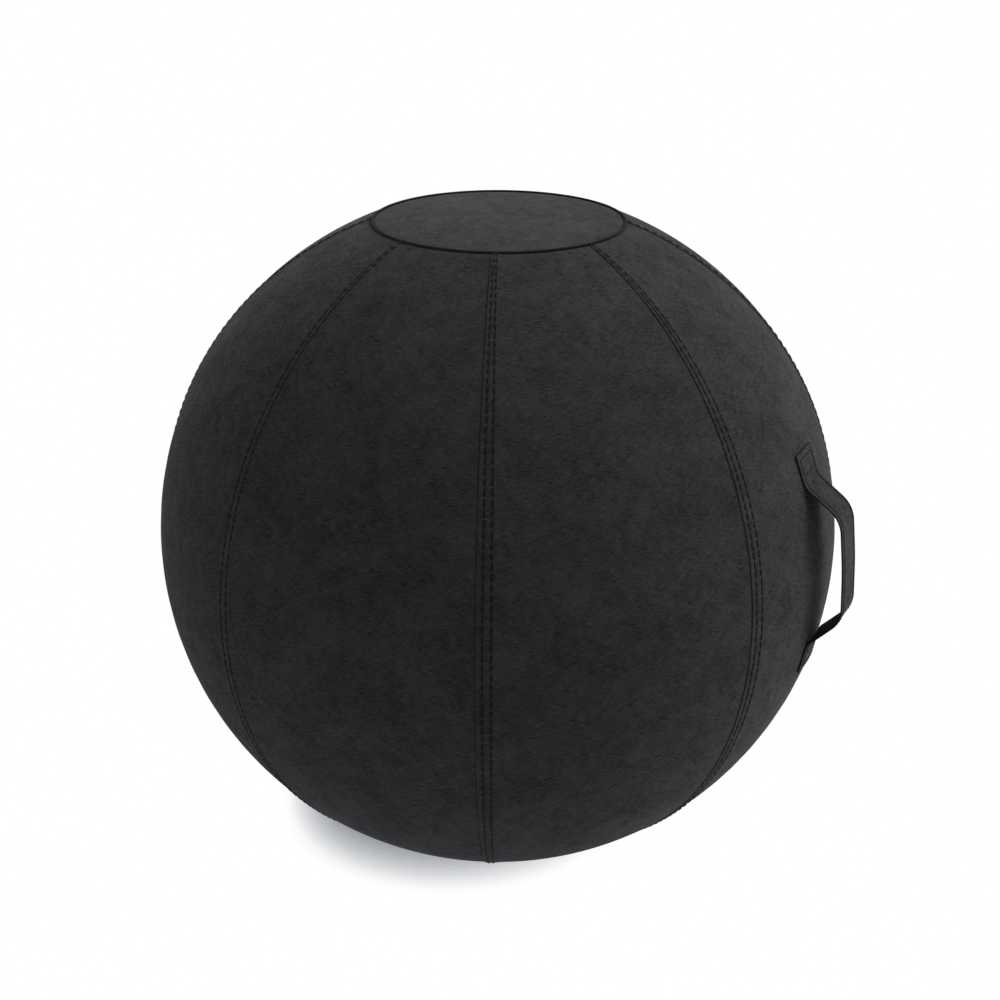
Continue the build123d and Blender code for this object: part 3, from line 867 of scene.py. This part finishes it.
print("a rounded corner has", len(rounded_path([(0, 0), (1, 0), (1, 1)], [0.2], 0.1)), "points")

# %% Sweep a section along stations
def sweep(name, stations, section, materials, uv_start=0.0):
    """Sweep a closed section of (across, height, material) along (origin, across, outward, sag) stations.

    A station's sag bends the section across, by that much at one metre from its middle.
    """
    points, faces, indices, places = [], [], [], []
    along, girth, around = 0.0, [0.0], len(section)
    for (a, b, _), (c, d, _) in zip(section, section[1:] + section[:1]):
        girth.append(girth[-1] + hypot(c - a, d - b))
    for number, (origin, across, outward, sag) in enumerate(stations):
        before = along
        if number:
            along += (origin - stations[number - 1][0]).length
        for wide, high, _ in section:
            points.append(origin + across * wide + outward * (high - sag * wide * wide))
        if number:
            here = number * around
            for i in range(around):
                j = (i + 1) % around
                faces.append((here - around + i, here + i, here + j, here - around + j))
                indices.append(section[i][2])
                left, right = girth[i], girth[i + 1]
                places += [(left, before), (left, along), (right, along), (right, before)]
    faces.append(tuple(range(around)))
    faces.append(tuple(len(points) - 1 - i for i in range(around)))
    indices += [section[0][2]] * 2
    places += [(wide, high) for wide, high, _ in section] * 2
    mesh = bpy.data.meshes.new(name)
    mesh.from_pydata(points, [], faces)
    for material in materials:
        mesh.materials.append(material)
    mesh.polygons.foreach_set("material_index", indices)
    layer = mesh.uv_layers.new(name=cloth_uv)
    for loop, (across, along) in zip(layer.data, places):
        loop.uv = (across + uv_start, along)
    return plain_mesh(new_piece(name, mesh))


print("sweep ready")

# %% Woven webbing for the strap's black backing, whose black paints shade, and for the zip's tape
wave_period = 2 * pi / 20
tape_fuzz = 1.5 * mm


def woven_tape(name, dark, light, rib):
    """Woven polyester tape: black, matt, with close ribs along it."""
    material, tree = start_material(name)
    place = add_node(tree, "ShaderNodeUVMap", uv_map=cloth_uv)
    ribs = add_node(tree, "ShaderNodeTexWave", {
        "Vector": place, "Scale": wave_period / rib, "Distortion": 0.4}, bands_direction="DIAGONAL")
    fuzz = add_node(tree, "ShaderNodeTexNoise", {"Vector": place, "Scale": 1 / tape_fuzz, "Detail": 2.0})
    tone = add_node(tree, "ShaderNodeMath", {0: ribs.outputs["Fac"], 1: fuzz}, operation="MULTIPLY")
    end_material(tree, tone, dark, light, height=tone, strength=0.4, depth=0.3 * mm, skin={
        "Roughness": 0.85, "Specular IOR Level": 0.1})
    return material


# The strap's backing is black webbing, and its black paints the shade on the strap's inner face.
strap_backing_and_shade = woven_tape("black_webbing_painted_shade", "#0c0c0c", "#1c1c1d", 1.6 * mm)
zip_tape_cloth = woven_tape("zip_tape_polyester", "#0f0f10", "#222224", 1.3 * mm)
print("made", strap_backing_and_shade.name, "and", zip_tape_cloth.name)

# %% Bend the strap
handle_latitude = radians(4.7)
strap_width = 40 * mm
strap_thickness = 1.8 * mm
strap_span = 214 * mm
sewn_length = 31 * mm
grip_length = 97 * mm
grip_reach = 26 * mm
grip_bow = 1.5 * mm
bend_radius = 28 * mm
crease_radius = 18 * mm
bow_radius = 400 * mm
strap_clearance = 0.1 * mm
strap_step = 3 * mm

end_angle = strap_span / 2 / ball_radius
sewn_angle = sewn_length / ball_radius
crease_angle = end_angle - sewn_angle
face_radius = (ball_radius + strap_clearance) / cos(sewn_angle / 2)
grip_face = ball_radius + grip_reach - strap_thickness
half_points = [
    (face_radius * cos(end_angle), face_radius * sin(end_angle)),
    (face_radius * cos(crease_angle), face_radius * sin(crease_angle)),
    (grip_face - grip_bow, grip_length / 2),
]
strap_points = half_points + [(grip_face, 0)] + [(x, -y) for x, y in reversed(half_points)]
strap_path = rounded_path(
    strap_points, [crease_radius, bend_radius, bow_radius, bend_radius, crease_radius], strap_step)
handle_out = Vector((cos(handle_latitude), 0, sin(handle_latitude)))
handle_up = Vector((-sin(handle_latitude), 0, cos(handle_latitude)))
strap_across = Vector((0, 1, 0))
crease_ease = crease_radius / 3
crease_start = half_points[1][1] + crease_ease
crease_end = half_points[1][1] - crease_ease


def strap_stations(path):
    """Turn points of the handle's plane into stations, with the outward side to the left of the path."""
    stations = []
    for i, point in enumerate(path):
        before, after = path[max(i - 1, 0)], path[min(i + 1, len(path) - 1)]
        ahead = (after - before).normalized()
        outward = handle_out * -ahead.y + handle_up * ahead.x
        origin = ball_centre + handle_out * point.x + handle_up * point.y
        on_ball = max(0.0, min(1.0, (abs(point.y) - crease_end) / (crease_start - crease_end)))
        stations.append((origin, strap_across, outward, on_ball / 2 / ball_radius))
    return stations


middle_stop = min(range(len(strap_path)), key=lambda i: abs(strap_path[i].y))
all_stations = strap_stations(strap_path)
half_stations = {"upper": all_stations[:middle_stop + 1], "lower": all_stations[middle_stop:]}
middle_place = [round(x / mm, 1) for x in strap_path[middle_stop]]
print("strap path", len(strap_path), "points, middle at", middle_place)

# %% Sweep the two halves of the strap
edge_inset = 4.5 * mm
half_width = strap_width / 2
edge_row = half_width - edge_inset
edge_round = 0.6 * mm
row_groove = 0.2 * mm
groove_reach = 2 * mm
# The second face is the black backing on the inner face and edges, and its black paints the shade there.
cloth_face, backing_and_shade_face = 0, 1
face_columns = [
    -half_width + edge_round, -edge_row - groove_reach, -edge_row, -edge_row + groove_reach,
    -edge_row / 2, 0,
]
face_columns += [-x for x in reversed(face_columns[:-1])]
strap_section = []
for across in face_columns:
    groove = row_groove if abs(across) == edge_row else 0.0
    strap_section.append((across, strap_thickness - groove, cloth_face))
strap_section[-1] = strap_section[-1][:2] + (backing_and_shade_face,)
strap_section += [
    (half_width, strap_thickness - edge_round, backing_and_shade_face),
    (half_width, edge_round, backing_and_shade_face),
    (half_width - edge_round, 0, backing_and_shade_face),
    (0, 0, backing_and_shade_face),
    (-half_width + edge_round, 0, backing_and_shade_face),
    (-half_width, edge_round, backing_and_shade_face),
    (-half_width, strap_thickness - edge_round, backing_and_shade_face),
]
strap_section.reverse()
strap_halves = {}
for name, stations in half_stations.items():
    strap_halves[name] = sweep(
        f"handle_strap_{name}", stations, strap_section, [cover_cloth, strap_backing_and_shade], uv_start=4.0)
print("strap halves", [half.name for half in strap_halves.values()])

# %% Stitch the strap
strap_pitch = 3.2 * mm
box_inset = 5 * mm
box_length = 15 * mm
box_steps = 4
strap_thread = 1.0 * mm


def strap_row(stations, across):
    """Return a path along the strap's outer face, at a distance from its middle."""
    path = []
    for origin, sideways, outward, sag in stations:
        height = strap_thickness - row_groove - sag * across * across
        path.append((origin + sideways * across + outward * height, outward))
    return path


def strap_length(stations):
    """Return how far along the strap each station is."""
    lengths = [0.0]
    for before, after in zip(stations, stations[1:]):
        lengths.append(lengths[-1] + (after[0] - before[0]).length)
    return lengths


strap_sewing = {}
for name, stations in (("upper", half_stations["upper"]), ("lower", half_stations["lower"][::-1])):
    lengths = strap_length(stations)
    inside = [s for s, length in zip(stations, lengths) if length >= box_inset]
    box = [s for s, length in zip(stations, lengths) if box_inset <= length <= box_inset + box_length]
    rows = [strap_row(inside, side * edge_row) for side in (-1, 1)]
    for station in (box[0], box[-1]):
        steps = range(-box_steps, box_steps + 1)
        rows.append([strap_row([station], edge_row * step / box_steps)[0] for step in steps])
    strap_sewing[name] = sew(f"strap_stitches_{name}", rows, strap_pitch, seed=21, diameter=strap_thread)
print("strap stitches", [sewing.name for sewing in strap_sewing.values()])

# %% [markdown]
# ## The zip
#
# A zip in the third seam lets the ball in and out. Its teeth, stops, slider and pull tab are exact in the
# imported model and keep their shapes, with new finishes. The two tapes are cloth, so they are swept again
# with a corded edge that the teeth grip.

# %% Weave the zip's tapes
zip_azimuth = (zip_seam_number - 0.5) * gore_angle
zip_out = Vector((cos(zip_azimuth), sin(zip_azimuth), 0))
zip_across = Vector((-sin(zip_azimuth), cos(zip_azimuth), 0))
tape_width = 14 * mm
tape_thickness = 0.8 * mm
tooth_root = 2.5 * mm
tape_end = 8 * mm
tape_clearance = 0.3 * mm
bead = 0.5 * mm
bead_width = 1.6 * mm
bead_foot = 2.2 * mm
tape_steps = 100
cover_inner_radius = ball_radius - cloth_thickness
tape_outer_radius = sqrt((cover_inner_radius - tape_clearance) ** 2 - (tooth_root + tape_width) ** 2)
tape_middle_radius = tape_outer_radius - tape_thickness / 2
tape_low = zip_low_latitude - tape_end / tape_middle_radius
tape_high = zip_high_latitude + tape_end / tape_middle_radius
tape_half = tape_thickness / 2
tape_section = [
    (0, -bead, 0), (bead_width, -bead, 0), (bead_foot, -tape_half, 0), (tape_width, -tape_half, 0),
    (tape_width, tape_half, 0), (bead_foot, tape_half, 0), (bead_width, bead, 0), (0, bead, 0),
]
zip_tapes = {}
for name, side in (("left", 1), ("right", -1)):
    stations = []
    for step in range(tape_steps + 1):
        angle = tape_low + (tape_high - tape_low) * step / tape_steps
        outward = zip_out * cos(angle) + Vector((0, 0, sin(angle)))
        origin = ball_centre + outward * tape_middle_radius + zip_across * side * tooth_root
        stations.append((origin, zip_across * side, outward, 0.0))
    section = tape_section if side == 1 else tape_section[::-1]
    zip_tapes[name] = sweep(f"zip_cloth_tape_{name}", stations, section, [zip_tape_cloth])
print("zip tapes", [tape.name for tape in zip_tapes.values()])

# %% Moulded acetal and PVC, and coated zinc
roughness_spread = 0.1


def moulded_finish(name, dark, light, roughness, grain):
    """A moulded or coated skin: even colour with a faint mottle, satin, with the mould's fine grain."""
    material, tree = start_material(name)
    place = add_node(tree, "ShaderNodeTexCoord")
    mottle = add_node(tree, "ShaderNodeTexNoise", {
        "Vector": place.outputs["Object"], "Scale": 1 / grain, "Detail": 3.0})
    rough = add_node(tree, "ShaderNodeMapRange", {
        "Value": mottle, "To Min": roughness - roughness_spread, "To Max": roughness + roughness_spread})
    end_material(tree, mottle, dark, light, height=mottle, strength=0.1, depth=0.1 * mm, skin={
        "Roughness": rough, "IOR": 1.48})
    return material


def dress(material, *nodes):
    """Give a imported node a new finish."""
    for node in nodes:
        slots = frame["nodes"][node].data.materials
        slots.clear()
        slots.append(material)


acetal = moulded_finish("moulded_acetal", "#121213", "#19191a", 0.42, 3 * mm)
zinc = moulded_finish("black_coated_zinc", "#171719", "#202022", 0.32, 2 * mm)
white_pvc = moulded_finish("white_soft_pvc", "#d6d6d0", "#e2e2dc", 0.45, 4 * mm)
grey_pvc = moulded_finish("grey_soft_pvc", "#999ca1", "#a7aaaf", 0.5, 12 * mm)
dress(acetal, "zip_teeth_left", "zip_teeth_right")
dress(zinc, "zip_top_stops", "zip_bottom_stop", "zip_slider", "zip_pull")
dress(white_pvc, "valve_socket", "valve_plug")
print("dressed the zip and the valve")

# %% [markdown]
# ## The inflated ball
#
# Inside the cover is a thick-walled ball of soft PVC. It is pressed flat by the two round panels and
# dented along the zip. Nobody sees it while the cover is closed, but a part that is opened has to have it.

# %% Blow up the bladder
bladder_clearance = 0.3 * mm
bladder_radius = tape_outer_radius - tape_thickness - bladder_clearance
bladder_top = top_panel_height - cloth_thickness - tuck_depth - ball_centre.z
bladder_base = base_thickness - ball_centre.z
bladder_rings = 60
bladder_segments = 96
flat_stop = 0.5
bladder_profile = [(0, ball_centre.z + bladder_top + panel_crown)]
top_flat = sqrt(bladder_radius**2 - bladder_top**2)
base_flat = sqrt(bladder_radius**2 - bladder_base**2)
bladder_profile.append((
    top_flat * flat_stop, ball_centre.z + bladder_top + panel_crown * (1 - flat_stop**2)))
top_latitude, base_latitude = asin(bladder_top / bladder_radius), asin(bladder_base / bladder_radius)
for step in range(bladder_rings + 1):
    angle = top_latitude + (base_latitude - top_latitude) * step / bladder_rings
    bladder_profile.append((bladder_radius * cos(angle), ball_centre.z + bladder_radius * sin(angle)))
bladder_profile.append((base_flat * flat_stop, ball_centre.z + bladder_base))
bladder_profile.append((0, ball_centre.z + bladder_base))
inflated_ball = lathe("inflated_bladder", bladder_profile, bladder_segments, grey_pvc)
print("bladder", round(2 * bladder_radius / mm, 1), "mm across")

# %% Dent the bladder along the zip
dent_depth = 7 * mm
dent_half = 12 * mm
for vertex in inflated_ball.data.vertices:
    spoke = vertex.co - ball_centre
    aside = abs(spoke.dot(zip_across))
    latitude = asin(max(-1.0, min(1.0, spoke.z / spoke.length)))
    if spoke.dot(zip_out) > 0 and aside < 2 * dent_half and tape_low <= latitude <= tape_high:
        share = max(0.0, 1 - max(0.0, aside - dent_half) / dent_half)
        vertex.co -= spoke.normalized() * dent_depth * ease(share)
print("dent", round(dent_depth / mm, 1), "mm deep")

# %% [markdown]
# ## Bodies
#
# The cover's pieces, stitches, zip tapes and bladder ride on the ball's body, and the imported nodes that
# they replace are hidden.

# %% Ride on the ball
for number, gore in enumerate(gores, start=1):
    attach(gore, "ball")
    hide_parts(f"gore_panel_{number}")
for panel, node, slot, radius in (
    (top_round, "top_panel", "cover_cloth", panel_radius),
    (base_round, "base_panel", "base_cloth", base_radius),
):
    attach(panel, "ball")
    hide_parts(node)
for name, piping in pipings.items():
    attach(piping, "ball")
    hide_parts(f"{name}_piping")
for sewing in (seam_stitches, zip_stitches):
    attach(sewing, "ball")
for name, tape in zip_tapes.items():
    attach(tape, "ball")
    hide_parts(f"zip_tape_{name}")
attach(inflated_ball, "ball")
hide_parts("bladder")

# %% Bake the strap's halves and stitches in place, and hide the imported handle
for name, side in (("upper", 1), ("lower", -1)):
    for piece in (strap_halves[name], strap_sewing[name]):
        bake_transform(piece)
    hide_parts(f"handle_{name}_tab", "handle_loop")
